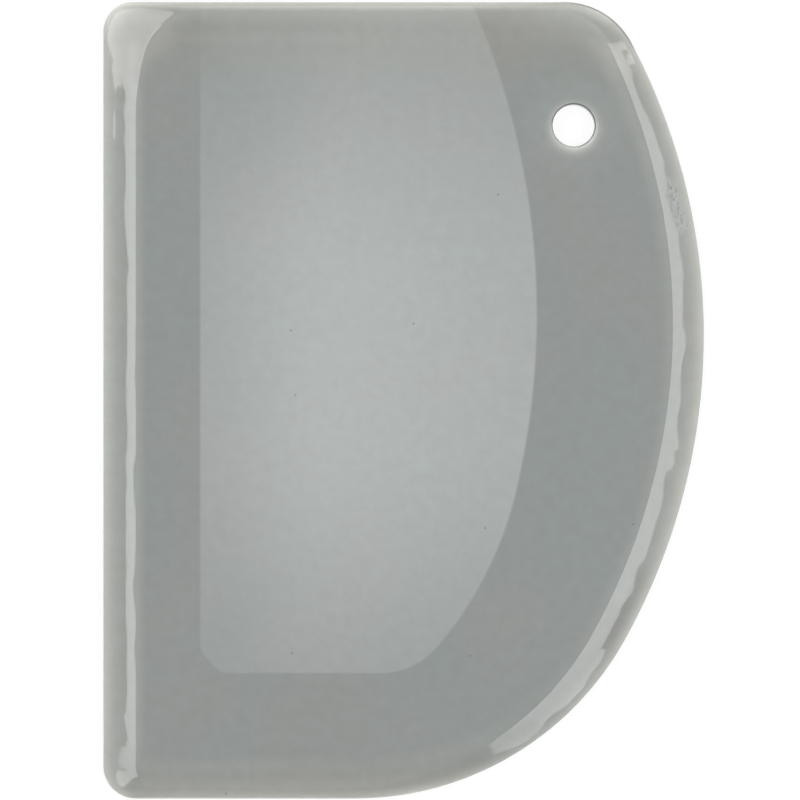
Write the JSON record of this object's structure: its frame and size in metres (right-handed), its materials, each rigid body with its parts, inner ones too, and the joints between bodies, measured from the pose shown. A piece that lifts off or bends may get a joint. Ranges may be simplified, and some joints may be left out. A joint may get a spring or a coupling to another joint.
{
  "type": "bowl scraper",
  "caption": "D-shaped flexible scraper for bowls and dough, silicone moulded over a stiff core plate, with a straight blade, a curved blade and a hang hole.",
  "frame": {"origin": "middle of the bounding box, on the flat face that the part lies on", "axes": "+X from the straight blade to the bowl curve, +Y along the part to the end with the hang hole, +Z through the thickness"},
  "size_m": [0.1206, 0.16, 0.0045],
  "materials": {
    "silicone": "smooth, softly glossy, slightly translucent",
    "core": "matte"
  },
  "bodies": {
    "root": {"front_skin": "silicone", "back_skin": "silicone", "core_plate": "core"}
  },
  "joints": []
}
